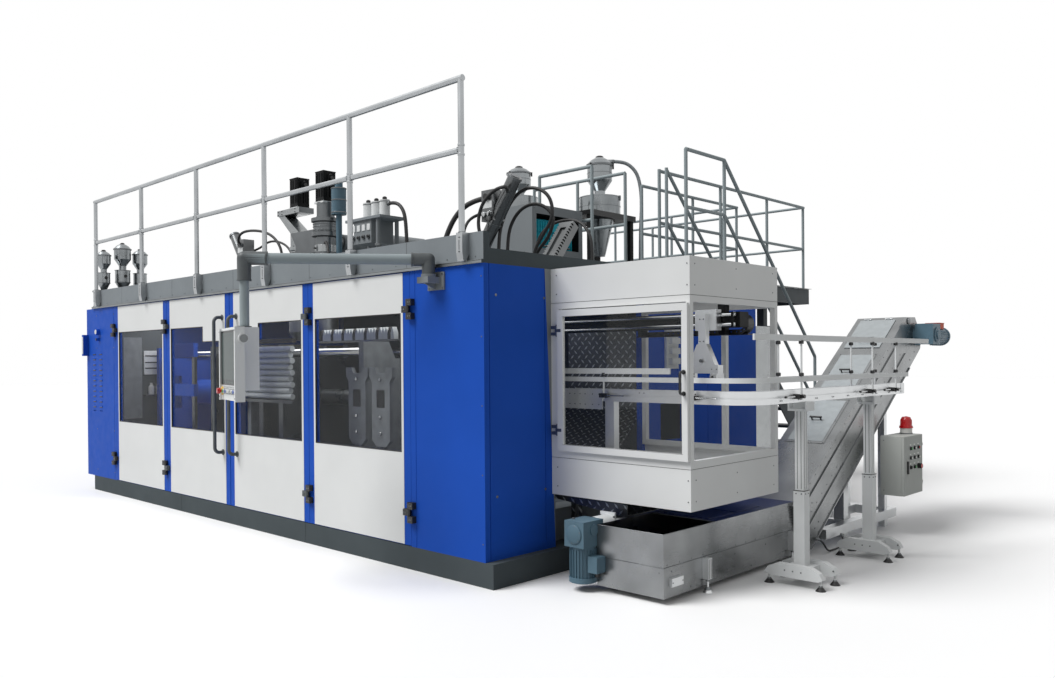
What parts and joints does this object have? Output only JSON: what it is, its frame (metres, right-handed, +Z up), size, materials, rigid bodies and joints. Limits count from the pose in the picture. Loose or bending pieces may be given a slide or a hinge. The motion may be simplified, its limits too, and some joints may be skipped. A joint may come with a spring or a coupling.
{
  "type": "blow moulding machine",
  "caption": "Extrusion blow moulding machine with folding guard doors, swing-arm operator panel, roof extruder, guarded outfeed conveyor and scrap incline.",
  "frame": {"origin": "centre of the plinth's underside, on the floor", "axes": "+X to the right along the door front, +Y from the doors to the back, +Z up"},
  "size_m": [9.064, 8.0194, 4.0203],
  "materials": {
    "plinth_grey": "satin dark grey paint",
    "shell_blue": "fine textured blue paint",
    "deck_grey": "satin mid grey paint",
    "frame_grey": "light grey paint",
    "white_paint": "satin white paint",
    "hinge_black": "black coated",
    "clear_pane": "clear polycarbonate",
    "rail_silver": "stainless tube",
    "stainless": "brushed stainless steel",
    "machined": "machined steel",
    "cast_grey": "grey painted casting",
    "teal_paint": "teal paint",
    "motor_black": "black paint",
    "alu": "anodised profile",
    "panel_grey": "light grey powder coat",
    "red_plastic": "red gloss",
    "gear_blue": "blue grey paint",
    "hose_black": "black rubber",
    "hose_grey": "ribbed grey hose"
  },
  "bodies": {
    "machine": {"base_plinth": "plinth_grey", "left_cabinet": "shell_blue", "right_end_panel": "shell_blue", "rear_enclosure": "shell_blue", "roof_deck": "deck_grey", "fixed_hinges": "hinge_black", "front_guard_rail": "rail_silver", "walkway_stair": "deck_grey", "rear_guard_rail": "rail_silver", "extruder_housing": "cast_grey", "power_unit": "frame_grey", "pump_motor": "teal_paint", "hoppers": "stainless", "vacuum_loaders": "stainless", "die_head": "machined", "servo_motors": "motor_black", "tilt_cylinders": "machined", "arm_bracket": "rail_silver", "cage_frame": "white_paint", "takeout_beam": "motor_black", "transfer_conveyor": "alu", "guide_rails": "white_paint", "conveyor_stands": "panel_grey", "scrap_tray": "stainless", "gearmotors": "gear_blue", "incline_conveyor": "stainless", "incline_frame": "alu", "control_box": "panel_grey", "clamp_bed": "frame_grey", "main_loader_hose": "hose_grey", "hydraulic_hose": "hose_black", "head_hose": "hose_black"},
    "door_1": {"door_1_leaf": "white_paint", "door_1_pane": "clear_pane", "door_1_hinges": "hinge_black"},
    "door_2": {"door_2_leaf": "white_paint", "door_2_pane": "clear_pane", "door_2_handle": "hinge_black"},
    "door_3": {"door_3_leaf": "white_paint", "door_3_pane": "clear_pane", "door_3_handle": "hinge_black"},
    "door_4": {"door_4_leaf": "white_paint", "door_4_pane": "clear_pane", "door_4_hinges": "hinge_black"},
    "arm": {"pendant_arm": "rail_silver"},
    "operator_panel": {"hmi_panel": "panel_grey"},
    "stop_button": {"emergency_stop": "red_plastic"},
    "cage_door_body": {"cage_door": "white_paint", "cage_pane": "clear_pane"},
    "takeout": {"takeout_carriage": "alu"},
    "screw": {"extruder_screw": "machined"},
    "inspection_lid": {"incline_lid": "stainless"},
    "box_door": {"control_box_door": "panel_grey"},
    "carriage_left": {"left_carriage": "frame_grey"},
    "carriage_right": {"right_carriage": "frame_grey"},
    "mould_left_outer": {"left_platen_outer": "machined"},
    "mould_left_inner": {"left_platen_inner": "machined"},
    "mould_right_outer": {"right_platen_outer": "machined"},
    "mould_right_inner": {"right_platen_inner": "machined"}
  },
  "joints": [
    {"name": "door_1_swing", "type": "hinge", "parent": "machine", "child": "door_1", "pos_m": [-2.889, -1.924, 1.1], "axis": [0, 0, 1], "range_deg": [-100, 0]},
    {"name": "door_2_swing", "type": "hinge", "parent": "door_1", "child": "door_2", "pos_m": [-1.493, -1.924, 1.1], "axis": [0, 0, 1], "range_deg": [-110, 0]},
    {"name": "arm_swing", "type": "hinge", "parent": "machine", "child": "arm", "pos_m": [3.006, -1.975, 2.225], "axis": [0, 0, 1], "range_deg": [0, 110]},
    {"name": "door_4_swing", "type": "hinge", "parent": "machine", "child": "door_4", "pos_m": [2.695, -1.924, 1.1], "axis": [0, 0, 1], "range_deg": [0, 93.5]},
    {"name": "door_3_swing", "type": "hinge", "parent": "door_4", "child": "door_3", "pos_m": [1.299, -1.924, 1.1], "axis": [0, 0, 1], "range_deg": [0, 100]},
    {"name": "panel_swivel", "type": "hinge", "parent": "arm", "child": "operator_panel", "pos_m": [2.2095, -2.9872, 1.8165], "axis": [0, 0, 1], "range_deg": [-60, 60]},
    {"name": "stop_press", "type": "slide", "parent": "operator_panel", "child": "stop_button", "axis": [0.2756, 0.9613, 0], "range_m": [0, 0.006]},
    {"name": "cage_door_swing", "type": "hinge", "parent": "machine", "child": "cage_door_body", "pos_m": [3.568, -1.226, 1.424], "axis": [0, 0, 1], "range_deg": [-90, 0]},
    {"name": "takeout_slide", "type": "slide", "parent": "machine", "child": "takeout", "axis": [1, 0, 0], "range_m": [-1, 0.05]},
    {"name": "screw_turn", "type": "hinge", "parent": "machine", "child": "screw", "pos_m": [0.08, 0.1, 2.82], "axis": [0, 1, 0], "continuous": true},
    {"name": "inspection_lid_swing", "type": "hinge", "parent": "machine", "child": "inspection_lid", "pos_m": [4.44, 2.52265, 1.94514], "axis": [1, 0, 0], "range_deg": [-100, 0]},
    {"name": "box_door_swing", "type": "hinge", "parent": "machine", "child": "box_door", "pos_m": [4.966, 2.174, 0.618], "axis": [0, 0, 1], "range_deg": [0, 110]},
    {"name": "left_carriage_slide", "type": "slide", "parent": "machine", "child": "carriage_left", "axis": [1, 0, 0], "range_m": [0, 1.05]},
    {"name": "right_carriage_slide", "type": "slide", "parent": "machine", "child": "carriage_right", "axis": [1, 0, 0], "range_m": [0, 1.05]},
    {"name": "left_mould_open", "type": "slide", "parent": "carriage_left", "child": "mould_left_outer", "axis": [-1, 0, 0], "range_m": [0, 0.14]},
    {"name": "left_mould_mate", "type": "slide", "parent": "carriage_left", "child": "mould_left_inner", "axis": [1, 0, 0], "range_m": [0, 0.14]},
    {"name": "right_mould_open", "type": "slide", "parent": "carriage_right", "child": "mould_right_outer", "axis": [1, 0, 0], "range_m": [0, 0.14]},
    {"name": "right_mould_mate", "type": "slide", "parent": "carriage_right", "child": "mould_right_inner", "axis": [-1, 0, 0], "range_m": [0, 0.14]}
  ],
  "couplings": [
    {"joint": "door_4_swing", "follows": "arm_swing", "ratio": 0.85},
    {"joint": "right_carriage_slide", "follows": "left_carriage_slide", "ratio": 1},
    {"joint": "left_mould_mate", "follows": "left_mould_open", "ratio": 1},
    {"joint": "right_mould_mate", "follows": "right_mould_open", "ratio": 1}
  ]
}
